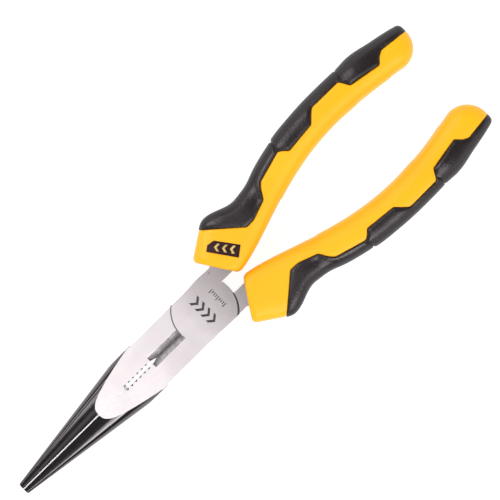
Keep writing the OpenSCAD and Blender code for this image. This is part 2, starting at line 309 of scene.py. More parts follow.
def half_section(x, edge):
    """Half rings from the gripping face's edge over the flat or round top and down the side, as distances
    out and heights over mid thickness. edge is the width of the inner edge's bevel. On the round nose a
    point at angle t lies where the superellipse |y/a|^n + |z/h|^n = 1 meets that ray; further back, the
    side turns in a quarter ellipse. Between the two they are mixed."""
    a, h = nose_size(x)
    wide = np.minimum(a, HALF_W)
    crease = np.where(h > MID, a * np.maximum(1 - (MID / h) ** NOSE_N, 0) ** (1 / NOSE_N), 0)
    side = np.where(a > wide, h * np.maximum(1 - (wide / a) ** NOSE_N, 0) ** (1 / NOSE_N), 0)
    inner = np.where(x > STRAIGHT_X, SEAM, gripping_face(x, np.minimum(h, MID))) + edge
    crease = np.clip(np.maximum(crease, inner), None, wide - SIDE_BREAK)
    side = np.minimum(side, MID - SIDE_BREAK)

    def top(y):
        """Height of the top over mid thickness: the superellipse cut off flat."""
        return np.minimum(MID, h * np.maximum(1 - np.minimum(y / a, 1) ** NOSE_N, 0) ** (1 / NOSE_N))

    y_flat = inner + (crease - inner) * np.linspace(0, 1, 6, endpoint=False)[:, None]
    t0, t1 = np.arctan2(top(crease) / h, crease / a), np.arctan2(side / h, wide / a)
    turn = t0 + (t1 - t0) * np.linspace(0, 1, 26)[:, None]
    radius = (np.abs(np.cos(turn)) ** NOSE_N + np.abs(np.sin(turn)) ** NOSE_N) ** (-1 / NOSE_N)
    quarter = np.linspace(np.pi / 2, 0, 26)[:, None]
    own = smoothstep(x, ROUND_X + 2.4, ROUND_X + 3.4)
    y_round = own * a * radius * np.cos(turn) + (1 - own) * (crease + (wide - crease) * np.cos(quarter))
    z_round = own * h * radius * np.sin(turn) + (1 - own) * (side + (MID - side) * np.sin(quarter))
    return np.concatenate([y_flat, y_round]), np.concatenate([top(y_flat), z_round])


def jaw_sections(x, shrink):
    """Rings of the jaw at stations x: over the top, round the side, back along the bottom and up the
    gripping face. The top inner edge of the nose has a wide bevel. shrink draws a ring in all round."""
    nose = smoothstep(x, BEVEL_FROM, BEVEL_TO)
    top_edge, low_edge = TOP_EDGE + TOP_EDGE_RISE * nose, LOW_EDGE + LOW_EDGE_RISE * nose
    y_up, z_up = half_section(x, top_edge)
    y_down, z_down = half_section(x, low_edge)
    high, low = z_up[0] - BEVEL_SLOPE * top_edge, z_down[0] - BEVEL_SLOPE * low_edge
    land = CUTTER_LAND / MID
    spread = np.sort(np.concatenate([np.linspace(-1, 1, 14), [-land, land]]))[:, None]
    z_face = np.where(spread > 0, high * spread, low * spread)
    y_face = gripping_face(x, z_face)
    y_ring = np.concatenate([y_up, y_down[::-1][1:], y_face])
    z_ring = np.concatenate([z_up, -z_down[::-1][1:], z_face])
    a, h = nose_size(x)
    y_mid = np.minimum(a, HALF_W) / 2
    y_ring = y_mid + (y_ring - y_mid) * (1 - shrink / y_mid)
    z_ring = z_ring * (1 - shrink / np.minimum(h, MID))
    xs = np.broadcast_to(x, y_ring.shape)
    return np.stack([xs, y_ring, z_ring + MID], -1).transpose(1, 0, 2)


def jaw(name):
    """One jaw, from inside the joint to the tip, whose end is rounded by drawing in the last rings."""
    roll = np.linspace(0, np.pi / 2, 7)
    joint = np.array([1, 6, 11, 14, 17, 20, 22.99, 23.01, 24, PIPE_BACK - 0.01, PIPE_BACK + 0.01, 25.5])
    notch = NOTCH_FIRST - NOTCH_PITCH * np.arange(NOTCHES - 1, -1, -1)
    pipe = (notch[:, None] + NOTCH_W * np.array([-1.5, -1, -0.5, 0, 0.5, 1, 1.2])).ravel()
    mouth = PIPE_FRONT + np.array([0, PIPE_WALL, 0.4, 0.9, 1.5])
    nose = np.arange(STRAIGHT_X, JAW_L - TIP_R, TOOTH_PITCH / 4)
    end = JAW_L - TIP_R + TIP_R * np.sin(roll)
    x = np.concatenate([joint, pipe, mouth, nose, end])
    shrink = np.concatenate([np.zeros(len(x) - len(end)), TIP_R * (1 - np.cos(roll))])
    return skin(name, jaw_sections(x, shrink))


# ---- Grip form -----------------------------------------------------------------------------------
def ease(a, b, t, skew=1.0):
    """Half cosine from a to b; a skew under 1 brings the change forward."""
    return a + (b - a) * (1 - np.cos(np.pi * np.clip(t, 0, 1) ** skew)) / 2


def part_of(d, d0, d1):
    """How far d is from d0 to d1, as a part of 1, and 0 before d0."""
    return np.clip((d - d0) / (d1 - d0), 0, None)


def outer_edge(d):
    """Distance of the grip's outer edge from the axis: collar, finger guard, waist, belly and end."""
    in_corner = part_of(d, HANDLE_L - CORNER_R, HANDLE_L)
    round_off = CORNER_R * (1 - np.sqrt(np.clip(1 - in_corner**2, 0, 1)))
    return np.select(
        [d < COLLAR_IN, d < CREST_D, d < WAIST_D, d < BELLY_D],
        [
            COLLAR_W + (SHOULDER_W - COLLAR_W) * (d - COLLAR_OUT) / (COLLAR_IN - COLLAR_OUT),
            SHOULDER_W + (CREST_W - SHOULDER_W) * np.sin(np.pi / 2 * part_of(d, COLLAR_IN, CREST_D)),
            ease(CREST_W, WAIST_W, part_of(d, CREST_D, WAIST_D)),
            ease(WAIST_W, BELLY_W, part_of(d, WAIST_D, BELLY_D), 0.65),
        ],
        BELLY_W - (BELLY_W - END_W) * part_of(d, BELLY_D, HANDLE_L) ** 2.5 - round_off,
    )


def inner_edge(d):
    """Distance of the grip's inner edge from the axis: it swings out to the belly and in to the heel."""
    return np.select(
        [d < BELLY_D, d < HEEL_D],
        [
            ease(COLLAR_GAP, BELLY_GAP, part_of(d, COLLAR_IN, BELLY_D), 0.75),
            BELLY_GAP - (BELLY_GAP - HEEL_GAP) * part_of(d, BELLY_D, HEEL_D) ** 1.6,
        ],
        HEEL_GAP + END_R * (1 - np.sqrt(np.clip(1 - part_of(d, HEEL_D, HANDLE_L) ** 2, 0, 1))),
    )


def half_thick(d):
    """Half thickness of the grip: it swells to the belly and rolls off at the round end."""
    return np.select(
        [d < BELLY_D, d < HEEL_D],
        [
            ease(COLLAR_H, BELLY_H, part_of(d, COLLAR_IN, BELLY_D)),
            ease(BELLY_H, HEEL_H, part_of(d, BELLY_D, HEEL_D)),
        ],
        HEEL_H * np.clip(1 - part_of(d, HEEL_D, HANDLE_L) ** 2.5, 0.004, 1) ** 0.4,
    )


def pad_border(d, shift):
    """Distance from the axis of the line between the hard sleeve and the soft pad: a wedge behind the
    collar, then three lobes. The straight runs are joined through corners rounded by a running mean."""
    corners = np.array([
        (18.2, 20.5), (30, 10.1), (33.5, 10.2), (40.5, 12.7), (42.5, 16.2), (44, 17.8), (55, 20.9),
        (56.5, 20), (58, 18.3), (69.5, 19.4), (71.5, 21.6), (73.5, 23.5), (86, 23.4), (88, 19.6),
        (100, 17.5), (102, 19.8), (104, 20.8), (116, 19.5),
    ])
    fine = np.arange(5, 125, 0.05)
    line = np.interp(fine, corners[:, 0] + shift * 0.4, corners[:, 1] + shift)
    before = fine < PAD_START
    line[before] = corners[0, 1] + shift + (PAD_START - fine[before]) * 0.9
    for width in (17, 13):
        line = np.convolve(np.pad(line, width // 2, mode="edge"), np.ones(width) / width, "valid")
    return np.interp(d, fine, line)


class Grip:
    """Sections of one grip from the collar's slanted face to the round end.

    A section stands on the line in plan from the inner edge to the outer edge and is a superellipse: with
    q along that line and f the height, both over their half sizes, |q|^n + |f|^n = 1. The exponent falls
    from a squarer collar to a rounder palm. The line where the pad begins is found on each section. shift
    moves that line outwards, and heel fills out the inner edge ahead of the round end."""

    def __init__(self, shift, heel):
        heel_s = (HEEL_D - COLLAR_IN) / (HANDLE_L - COLLAR_IN)
        dist = np.concatenate([
            COLLAR_ROUND * (1 - np.cos(np.linspace(0, np.pi / 2, 9))),
            np.arange(COLLAR_ROUND + 0.15, STATIONS_L * heel_s, STATION),
        ])
        round_end = heel_s + (1 - heel_s) * np.sin(np.linspace(0, np.pi / 2, 44))
        self.s = np.concatenate([dist / STATIONS_L, round_end[1:]])
        short = np.clip(COLLAR_ROUND - self.s * STATIONS_L, 0, None)
        self.edge = COLLAR_ROUND - np.sqrt(np.clip(COLLAR_ROUND**2 - short**2, 0, None))
        self.d_in = COLLAR_IN + (HANDLE_L - COLLAR_IN) * self.s
        self.d_out = COLLAR_OUT + (HANDLE_L - COLLAR_OUT) * self.s
        w_in = inner_edge(self.d_in) - heel * np.exp(-(((self.d_in - HEEL_D + 2) / 8) ** 2))
        w_out = outer_edge(self.d_out)
        self.start = np.stack([-self.d_in, -w_in], -1)
        self.stop = np.stack([-self.d_out, -w_out], -1)
        self.n = COLLAR_N - N_FALL * smoothstep(self.d_in, PALM_FROM, PALM_TO)
        self.tall = half_thick(self.d_in)
        self.border = self.find_border(w_in, w_out, shift)

    def find_border(self, w_in, w_out, shift):
        """Place of the pad's line along each section, from -1 inside to 1 outside, or 1 with no pad."""
        t = np.linspace(0, 1, 400)
        d = self.d_in[:, None] + (self.d_out - self.d_in)[:, None] * t
        w = w_in[:, None] + (w_out - w_in)[:, None] * t
        over = w - pad_border(d, shift)
        inside = over < 0
        last = t.size - 1 - np.argmax(inside[:, ::-1], axis=1)
        last = np.clip(last, 0, t.size - 2)
        rows = np.arange(len(self.s))
        f0, f1 = over[rows, last], over[rows, last + 1]
        cross = t[last] + (t[1] - t[0]) * np.clip(-f0 / np.where(f1 - f0 == 0, 1, f1 - f0), 0, 1)
        cross = np.where(over[:, -1] <= 0, 1.0, cross)
        return np.clip(2 * cross - 1, -0.999, 1.0)

    def border_angle(self):
        """Polar angle of the pad's line on each section."""
        rise = np.clip(1 - np.abs(self.border) ** self.n, 0, 1) ** (1 / self.n)
        return np.arctan2(rise, self.border)

    def surface(self, angle, offset):
        """Points of the sections at polar angles in normalised section space, moved out along the section's
        own normal by offset."""
        n = self.n[:, None]
        c, s = np.cos(angle), np.sin(angle)
        radius = (np.abs(c) ** n + np.abs(s) ** n) ** (-1 / n)
        q, f = radius * c, radius * s
        centre = (self.start + self.stop) / 2
        half = (self.stop - self.start) / 2
        length = np.linalg.norm(half, axis=1)
        along = half / length[:, None]
        wide = np.maximum(length - self.edge, LEAST_W)[:, None]
        tall = np.maximum(self.tall - self.edge, LEAST_H)[:, None]
        nq = np.sign(q) * np.abs(q) ** (n - 1) / wide
        nf = np.sign(f) * np.abs(f) ** (n - 1) / tall
        norm = np.sqrt(nq**2 + nf**2)
        u = q * wide + offset * nq / norm
        v = f * tall + offset * nf / norm
        x = centre[:, :1] + along[:, :1] * u
        y = centre[:, 1:] + along[:, 1:] * u
        return np.stack([x, y, MID + v], -1)

    def from_border(self, points):
        """Distance of surface points from the pad's line, which runs along both sides of the grip: the
        least distance to the line's pieces within 26 sections either way."""
        limit = self.border_angle()[:, None]
        first = np.argmax(limit[:, 0] > PAD_START_ANGLE)
        count, reach = len(points), 26
        nearest = np.full(points.shape[:2], np.inf)
        for side in (1, -1):
            line = self.surface(side * limit, 0.0)[:, 0]
            line[:first] = line[first]
            line = np.pad(line, ((reach, reach + 1), (0, 0)), mode="edge")
            for k in range(2 * reach + 1):
                a, b = line[k : k + count, None], line[k + 1 : k + 1 + count, None]
                along = b - a
                t = np.sum((points - a) * along, 2) / (np.sum(along**2, 2) + 1e-12)
                gap = np.linalg.norm(points - a - np.clip(t, 0, 1)[..., None] * along, axis=2)
                nearest = np.minimum(nearest, gap)
        return nearest

    def pad_depth(self):
        """Thickness of the pad on each section, which falls where its arc round the section is short."""
        arc_points = self.surface(self.border_angle()[:, None] * np.linspace(-1, 1, 22), 0.0)
        width = np.sum(np.linalg.norm(np.diff(arc_points, axis=1), axis=2), 1)
        return (PAD_T * smoothstep(width, 0, PAD_WEDGE))[:, None]


def finger_steps(d):
    """Steps along the sleeve's inner side: up, back down, and once more down to where it fades out."""
    up, down, down_again = (smoothstep(d, at, at + PANEL_EDGE) for at in (44.7, 85.6, 100.4))
    return PANEL_H * (up - down - down_again) * (1 - smoothstep(d, 104, 112))


def groove(reach, depth, width):
    """Offset that falls to -depth on the pad's line and rolls back to 0 over width, as a quarter circle."""
    t = np.clip(reach / width, 0, 1)
    return -depth * (1 - np.sqrt(np.clip(1 - (1 - t) ** 2, 0, 1)))


def grip_core(name, grip, proud=0.0):
    """The hard sleeve: the outer surface on its own side of the pad's line, and a bed for the pad below it.
    Ahead of the pad the surface goes right round. proud moves the outer surface out."""
    limit = grip.border_angle()[:, None]
    padded = limit > PAD_START_ANGLE
    limit = np.where(padded, limit, limit[np.argmax(padded)])
    open_part = limit + (2 * np.pi - 2 * limit) * np.linspace(0, 1, 76)
    bed_part = limit * np.linspace(-1, 1, 22)[1:-1]
    angle = np.concatenate([open_part, bed_part], 1)
    place = grip.surface(angle, 0.0)
    inner_side = smoothstep(-np.cos(angle), 0.72, 0.94)
    lift = groove(grip.from_border(place), 0.5, 0.5) + finger_steps(-place[..., 0]) * inner_side + proud
    bed = padded & (np.arange(angle.shape[1]) >= open_part.shape[1])
    return skin(name, grip.surface(angle, np.where(bed, -grip.pad_depth() - PAD_FIT, lift)))


def grip_pad(name, grip):
    """The soft pad: plump outer surface with rolled edges, a dip behind the finger guard, creases where
    its two rear lobes start, a swell behind each, and an inner surface on the sleeve's bed."""
    limit = grip.border_angle()[:, None]
    keep = limit[:, 0] > PAD_START_ANGLE
    angle = -limit * np.linspace(-1, 1, 72)
    place = grip.surface(angle, 0.0)
    reach = grip.from_border(place)
    d, w = -place[..., 0], -place[..., 1]
    lean = d - 0.35 * (w - 21)
    crease = sum(0.5 * np.exp(-(((lean - at) / 0.3) ** 2)) for at in CREASES)
    swell = sum(high * smoothstep(lean, at, at + rise) * (1 - smoothstep(lean, at + fall, at + fall + 9))
                for at, high, rise, fall in zip(CREASES, (0.25, 0.6), (1.2, 6.5), (2.0, 7.5)))
    dip = 0.55 * np.exp(-(((d - 39.5) / 4.2) ** 2))
    lift = groove(reach, 0.45, 0.45) + 0.2 * smoothstep(reach, 0.0, 1.6)
    lift = lift + (swell - crease) * smoothstep(reach, 0.15, 1.0) - dip * smoothstep(reach, 0.0, 2.0)
    outer = grip.surface(angle, lift)
    inner = grip.surface(limit * np.linspace(-1, 1, 22)[1:-1], -grip.pad_depth())
    return skin(name, np.concatenate([outer, inner], 1)[keep])


# ---- Levers --------------------------------------------------------------------------------------
def tang_line(grow):
    """Outline of the tang: square out of the joint, then along the middle of the grip."""
    d = np.linspace(26, TANG_L, 30)
    mid = (inner_edge(d) + outer_edge(d)) / 2
    inner = np.stack([-d, TANG_W - mid], -1)
    outer = np.stack([-d, -TANG_W - mid], -1)[::-1]
    first = [(0, -HALF_W), (0, -TANG_IN), (-COLLAR_IN, -TANG_IN)]
    outline = np.concatenate([first, inner, outer, [(-COLLAR_OUT - 4, -HALF_W)]])
    return inset(counter_clockwise(outline), -grow)


def tang(name, grow=0.0):
    """The tang: full thickness as far as the collar and thinner in the grip. grow fattens it all round."""
    root = np.array([(-13, -HALF_W), (-15.5, 0.2 - HALF_W), (-17.5, -TANG_IN), (0, -TANG_IN), (0, -HALF_W)])
    thick = plate(name, inset(root, -grow), -grow, HEAD_T + grow, 0.2)
    thin = plate("thin", tang_line(grow - 0.3), MID - TANG_T / 2 - grow, MID + TANG_T / 2 + grow)
    combine(thick, thin, "UNION")
    return thick


def lap(name):
    """The round half-thickness lap, cut off at the width of the head."""
    top = np.degrees(np.arcsin(HALF_W / BOSS_R))
    right = arc(0, 0, BOSS_R, -top, top, 61)
    left = arc(0, 0, BOSS_R, 180 - top, 180 + top, 61)
    return plate(name, np.concatenate([right, left]), MID + LAP_GAP / 2, HEAD_T, JOINT_VEE)


def lap_room(name):
    """Space for the other lever's lap. Its flared mouth leaves a fine vee along the joint line, and a
    second disc a little off centre opens that line towards one side."""
    r = BOSS_R + LAP_GAP
    room = turned(name, [(r + 0.35, -0.2), (r + JOINT_VEE, 0.0), (r, JOINT_VEE), (r, MID + LAP_GAP / 2)])
    relief = turned("relief", [(r, -0.2), (r, MID)])
    relief.data.transform(Matrix.Translation((JOINT_LEAN[0] * MM, JOINT_LEAN[1] * MM, 0)))
    combine(room, relief, "UNION")
    return room


def chevron(name, x, y, half, rise, stroke, z0, z1):
    """A vee of even stroke that points along Y."""
    outline = np.array([(x - half, y), (x, y + rise), (x + half, y), (x + half, y + stroke),
                        (x, y + rise + stroke), (x - half, y + stroke)])
    return plate(name, outline, z0, z1)


def bar(name, x, y, length, width, z0, z1):
    """A straight stroke along X."""
    return plate(name, np.array([(x, y), (x + length, y), (x + length, y + width), (x, y + width)]), z0, z1)


def rivet_hole(name):
    """The rivet's hole, countersunk at the front."""
    return turned(name, [(RIVET_R, -1), (RIVET_R, HEAD_T - RIVET_HEAD_H), (RIVET_HEAD_R, HEAD_T),
                         (RIVET_HEAD_R + 0.5, HEAD_T + 0.5)])


def lever(name):
    """One lever: jaw, round lap and tang in one, less the other lap's room and the rivet's hole."""
    body = jaw(name)
    combine(body, tang("tang"), "UNION")
    combine(body, lap_room("room"), "DIFFERENCE")
    combine(body, lap("lap"), "UNION")
    combine(body, rivet_hole("hole"), "DIFFERENCE")
    return body


def etch_marks(body):
    """Plain etched chevrons, a row of ticks and a test dimple on the front face of the joint."""
    z0, z1 = HEAD_T - ETCH, HEAD_T + 1
    for k in range(4):
        combine(body, chevron("mark", 0.1, -5.4 + 2.7 * k, 1.9, 1.5, 1.05, z0, z1), "DIFFERENCE")
    for k in range(9):
        tall = 1.7 if k % 4 == 0 else 1.1
        combine(body, bar("tick", -6.9, -3.4 + 0.82 * k, tall, 0.32, z0, z1), "DIFFERENCE")
    dimple = turned("dimple", [(0.05, HEAD_T - 0.3), (0.42, HEAD_T + 0.02), (0.6, HEAD_T + 0.4)], 32)
    dimple.data.transform(Matrix.Translation((-10.1 * MM, -8.0 * MM, 0)))
    combine(body, dimple, "DIFFERENCE")


# ---- Materials -----------------------------------------------------------------------------------
def node_group(name, inputs, outputs):
    """A shader node group with named float, vector or colour sockets; inputs are (name, kind, default)."""
    group = bpy.data.node_groups.new(name, "ShaderNodeTree")
    for label, kind, default in inputs:
        socket = group.interface.new_socket(label, in_out="INPUT", socket_type=kind)
        if default is not None:
            socket.default_value = default
    for label, kind in outputs:
        group.interface.new_socket(label, in_out="OUTPUT", socket_type=kind)
    return group, group.nodes.new("NodeGroupInput"), group.nodes.new("NodeGroupOutput")


def add(tree, kind, links=None, **settings):
    """Adds a node, sets its properties and named or numbered inputs, and links inputs to sockets."""
    node = tree.nodes.new(kind)
    for key, value in settings.items():
        setattr(node, key, value)
    for key, value in (links or {}).items():
        if isinstance(value, bpy.types.NodeSocket):
            tree.links.new(value, node.inputs[key])
        else:
            node.inputs[key].default_value = value
    return node


def grain_group():
    """Fine even grain of moulded or ground surfaces: a small noise for height and a wide one for tone."""
    group, source, sink = node_group(
        "surface_grain",
        [("Vector", "NodeSocketVector", None), ("Fine", "NodeSocketFloat", 3000.0),
         ("Wide", "NodeSocketFloat", 60.0)],
        [("Height", "NodeSocketFloat"), ("Tone", "NodeSocketFloat")],
    )
    fine = add(group, "ShaderNodeTexNoise", {"Vector": source.outputs["Vector"],
                                             "Scale": source.outputs["Fine"], "Detail": 3.0})
    wide = add(group, "ShaderNodeTexNoise", {"Vector": source.outputs["Vector"],
                                             "Scale": source.outputs["Wide"], "Detail": 2.0})
    group.links.new(fine.outputs["Fac"], sink.inputs["Height"])
    group.links.new(wide.outputs["Fac"], sink.inputs["Tone"])
    return group


def lines_group():
    """Grinding lines: noise drawn out along one direction by an uneven scale."""
    group, source, sink = node_group(
        "grinding_lines",
        [("Vector", "NodeSocketVector", None), ("Stretch", "NodeSocketVector", (300.0, 9000.0, 300.0))],
        [("Lines", "NodeSocketFloat")],
    )
    scaled = add(group, "ShaderNodeVectorMath", {0: source.outputs["Vector"], 1: source.outputs["Stretch"]},
                 operation="MULTIPLY")
    noise = add(group, "ShaderNodeTexNoise", {"Vector": scaled.outputs[0], "Scale": 1.0, "Detail": 4.0,
                                              "Roughness": 0.6})
    group.links.new(noise.outputs["Fac"], sink.inputs["Lines"])
    return group


GRAIN = grain_group()
LINES = lines_group()


def start_material(name, plain):
    """A material, its nodes, its Principled shader with the sockets in plain set, and a piece's own
    coordinates."""
    material = bpy.data.materials.new(name)
    material.use_nodes = True
    tree = material.node_tree
    tree.nodes.clear()
    shader = add(tree, "ShaderNodeBsdfPrincipled", plain)
    add(tree, "ShaderNodeOutputMaterial", {"Surface": shader.outputs["BSDF"]})
    return material, tree, shader, tree.nodes.new("ShaderNodeTexCoord").outputs["Object"]


def place_group(tree, group, **inputs):
    """Puts a shared effect into a material with its own values."""
    return add(tree, "ShaderNodeGroup", inputs, node_tree=group)


def blend_colors(tree, fac, a, b, blend="MIX"):
    """Blends two colours by fac. Each of the three is an output or a value."""
    mix = add(tree, "ShaderNodeMix", {"Factor": fac, "A": a, "B": b}, data_type="RGBA", blend_type=blend)
    return mix.outputs["Result"]


def ranged(tree, fac, low, high, to_low, to_high):
    """Maps low to high onto to_low to to_high, and holds it there beyond."""
    return add(tree, "ShaderNodeMapRange", {"Value": fac, "From Min": low, "From Max": high,
                                            "To Min": to_low, "To Max": to_high}).outputs["Result"]


def two_tone(tree, fac, low, high, color_a, color_b):
    """Mixes two colours as fac goes from low to high."""
    return blend_colors(tree, ranged(tree, fac, low, high, 0, 1), (*color_a, 1), (*color_b, 1))


def bump(tree, shader, height, distance, strength):
    """Makes the surface stand out by height, an output from 0 to 1, over distance in metres."""
    node = add(tree, "ShaderNodeBump", {"Height": height, "Distance": distance, "Strength": strength})
    tree.links.new(node.outputs["Normal"], shader.inputs["Normal"])


def lined_steel(name, stretch, tones, colors, roughness, relief=None):
    """Bare steel whose lines, drawn out by stretch, vary its colour between two tones and its gloss. relief
    is the lines' height in metres and their strength."""
    material, tree, shader, place = start_material(name, {"Metallic": 1.0})
    lines = place_group(tree, LINES, Vector=place, Stretch=stretch).outputs["Lines"]
    tree.links.new(two_tone(tree, lines, *tones, *colors), shader.inputs["Base Color"])
    tree.links.new(ranged(tree, lines, 0.25, 0.75, *roughness), shader.inputs["Roughness"])
    if relief:
        bump(tree, shader, lines, *relief)
    return material


def grained(name, fine, wide, tones, colors, roughness=None, relief=None, plain=None):
    """A moulded, soft, enamelled or paper surface: a wide noise drifts its colour between two tones, and a
    fine one varies its gloss and stands out by relief, a height in metres and a strength."""
    material, tree, shader, place = start_material(name, plain)
    grain = place_group(tree, GRAIN, Vector=place, Fine=fine, Wide=wide).outputs
    tree.links.new(two_tone(tree, grain["Tone"], *tones, *colors), shader.inputs["Base Color"])
    if roughness:
        tree.links.new(ranged(tree, grain["Height"], 0.3, 0.7, *roughness), shader.inputs["Roughness"])
    if relief:
        bump(tree, shader, grain["Height"], *relief)
    return material


def ground_steel():
    """Ground faces: pale warm steel with faint grinding lines, darkened by painted shade towards the
    sleeves.
    """
    material, tree, shader, place = start_material("ground_steel", {"Metallic": 1.0})
    lines = place_group(tree, LINES, Vector=place, Stretch=(260.0, 6500.0, 260.0)).outputs["Lines"]
    tone = place_group(tree, GRAIN, Vector=place, Fine=2500.0, Wide=70.0).outputs["Tone"]
    steel = two_tone(tree, tone, 0.3, 0.7, (0.585, 0.532, 0.548), (0.65, 0.602, 0.614))
    along = add(tree, "ShaderNodeSeparateXYZ", {0: place}).outputs["X"]
    # Painted shade: the steel darkens from 6 mm ahead of the pivot back over the joint to the tangs.
    shade = two_tone(tree, along, -0.020, 0.006, (0.53, 0.505, 0.49), (1, 1, 1))
    tree.links.new(blend_colors(tree, 1.0, steel, shade, "MULTIPLY"), shader.inputs["Base Color"])
    tree.links.new(ranged(tree, lines, 0.25, 0.75, 0.2, 0.27), shader.inputs["Roughness"])
    bump(tree, shader, lines, 0.000004, 0.18)
    return material


def black_rubber():
    """Soft-touch pad: near-black with a fine leathery grain that breaks up the broad highlights. Its gloss
    falls off at grazing angles."""
    material = grained("black_soft_rubber", 1700.0, 90.0, (0.3, 0.7),
                       ((0.0072, 0.0054, 0.0060), (0.0108, 0.0086, 0.0094)), (0.26, 0.36), (0.0001, 0.8),
                       {"Specular Tint": (1.0, 0.9, 0.92, 1.0)})
    tree = material.node_tree
    facing = tree.nodes.new("ShaderNodeLayerWeight").outputs["Facing"]
    shader = tree.nodes["Principled BSDF"]
    tree.links.new(ranged(tree, facing, 0.25, 0.8, 0.42, 0.04), shader.inputs["Specular IOR Level"])
    return material


ground = ground_steel()
# Dark polished forging of the nose and the sides, with faint lengthwise polishing streaks.
dark = lined_steel("dark_polished_steel", (120.0, 2600.0, 2600.0), (0.3, 0.7),
                   ((0.105, 0.097, 0.100), (0.145, 0.135, 0.138)), (0.08, 0.14), (0.000003, 0.3))
# Milled bevels of the cutter and the gripping faces: mid grey with fine crosswise lines.
milled = lined_steel("milled_steel", (2000.0, 160.0, 160.0), (0.35, 0.65),
                     ((0.56, 0.535, 0.545), (0.80, 0.775, 0.785)), (0.5, 0.62), (0.00002, 0.6))
# Bright broken edges along the jaws' parting line.
bright = lined_steel("bright_edge_steel", (900.0, 900.0, 900.0), (0.3, 0.7),
                     ((0.60, 0.58, 0.59), (0.70, 0.68, 0.69)), (0.3, 0.4))
# Etched marks, dull dark grey in the shallow recess, and painted shade in the notches and on the cutting
# edge.
etched = grained("etched_mark_and_painted_shade", 9000.0, 400.0, (0.3, 0.7),
                 ((0.022, 0.017, 0.019), (0.045, 0.037, 0.040)), (0.5, 0.7), (0.00002, 0.5))
# Satin moulded sleeve: warm yellow that drifts slightly in tone, with a very fine grain.
yellow = grained("yellow_plastic", 5200.0, 38.0, (0.32, 0.68),
                 ((0.92, 0.422, 0.004), (0.96, 0.455, 0.006)), (0.36, 0.46), (0.00001, 0.4),
                 {"Specular IOR Level": 0.28, "Coat Weight": 0.05, "Coat Roughness": 0.3})
rubber = black_rubber()
# Gloss enamel of the inlay: very dark oxblood with a faint cloudiness.
enamel = grained("badge_enamel", 3000.0, 260.0, (0.3, 0.7),
                 ((0.018, 0.0045, 0.0055), (0.036, 0.009, 0.011)), (0.25, 0.35),
                 plain={"Specular IOR Level": 0.2})
# Gold foil of the vees on the inlay.
gilt = grained("gilt_foil", 7000.0, 500.0, (0.3, 0.7),
               ((0.55, 0.36, 0.10), (0.80, 0.58, 0.22)), (0.3, 0.45), plain={"Metallic": 1.0})
# Plain pale floor: matt white card.
paper = grained("pale_floor", 400.0, 8.0, (0.3, 0.7), ((0.21, 0.21, 0.211), (0.23, 0.23, 0.231)),
                plain={"Roughness": 0.9, "Specular IOR Level": 0.1, "Emission Color": (1, 1, 1, 1),
                       "Emission Strength": 0.91})


LEVER_FINISHES = (ground, dark, milled, bright, etched)
GROUND, DARK, MILLED, BRIGHT, ETCHED_AND_SHADED = range(5)


def dress_lever(obj, side):
    """Gives a lever's faces their finish by where they lie: ground faces, milled gripping faces and cutter
    bevels, bright parting edges on the nose, dull etched recesses, painted shade in the pipe grip's notches
    and along the cutting edge, and dark forging everywhere else.
    side is 1 for the lever whose jaw is at +Y and -1 for the other."""
    mesh = obj.data
    mesh.materials.clear()
    for material in LEVER_FINISHES:
        mesh.materials.append(material)
    centre, normal = face_data(mesh)
    x, y, z = centre[:, 0], centre[:, 1] * side, np.abs(centre[:, 2] - MID)
    facing, up = normal[:, 1] * side, np.abs(normal[:, 2])
    index = np.full(len(x), DARK)
    index[(up > 0.5) & (z > MID - 0.3) & (x < ROUND_X)] = GROUND      # with the head's broken edges
    index[(up > 0.995) & (z > MID - 0.02)] = GROUND
    inside = (x > BOSS_R) & (y < CUTTER_W + 0.1) & (facing < -0.2)
    index[inside] = MILLED
    index[inside & (x > PIPE_BACK + 0.1) & (y < 1.6) & (up > 0.3)] = BRIGHT
    # Painted shade: the pipe grip's notches take the dark etched finish.
    index[inside & (np.abs(x - 32) < 5.6) & (y > PIPE_W + 0.03) & (up < 0.3)] = ETCHED_AND_SHADED   # notches
    index[inside & (x > PIPE_FRONT) & (x < PIPE_FRONT + 2 * PIPE_WALL)] = BRIGHT
    # Painted shade: the land and the bottom of the cutter's bevels take the dark etched finish.
    index[inside & (x < PIPE_BACK - PIPE_POINT) & (z < 0.55)] = ETCHED_AND_SHADED                  # cutting edge
    index[(np.abs(z - (MID - ETCH)) < 0.02) & (up > 0.9) & (np.hypot(x, y) < 10)] = ETCHED_AND_SHADED
    mesh.polygons.foreach_set("material_index", index.astype(np.int32))
    mesh.update()


# ---- Pieces --------------------------------------------------------------------------------------
front_lever, rear_lever = lever("front_lever_forging"), lever("rear_lever_forging")
rivet = turned("rivet_shank", [(RIVET_HEAD_R - RIVET_FIT, 0.0), (RIVET_R - RIVET_FIT, RIVET_HEAD_H),
                               (RIVET_R - RIVET_FIT, HEAD_T - RIVET_HEAD_H),
                               (RIVET_HEAD_R - RIVET_FIT, HEAD_T)])
to_rear(rear_lever)
for obj in (front_lever, rivet):
    etch_marks(obj)
for obj, side in ((front_lever, 1), (rivet, 1), (rear_lever, -1)):
    dress_lever(obj, side)
    smooth(obj, 28)

front_grip, rear_grip = Grip(shift=-0.2, heel=0.0), Grip(shift=0.45, heel=0.6)
front_core, rear_core = grip_core("front_sleeve", front_grip), grip_core("rear_sleeve", rear_grip)
front_pad, rear_pad = grip_pad("front_soft_pad", front_grip), grip_pad("rear_soft_pad", rear_grip)
for core in (front_core, rear_core):
    combine(core, tang("socket", SOCKET_FIT), "DIFFERENCE")

badge_line = np.array([(-20.8, -4.6), (-24.2, -7.2), (-18.8, -14.5), (-16.2, -14.9), (-14.4, -13.6)])
BADGE_LOW = 9.6                         # bottom of the inlay's pocket


def skin_deep(name, outline, proud):
    """A tablet over an outline whose top follows the front sleeve's surface, a little proud of it."""
    tablet = plate(name, outline, BADGE_LOW, BADGE_LOW + 6)
    combine(tablet, grip_core("cover", front_grip, proud), "INTERSECT")
    return tablet


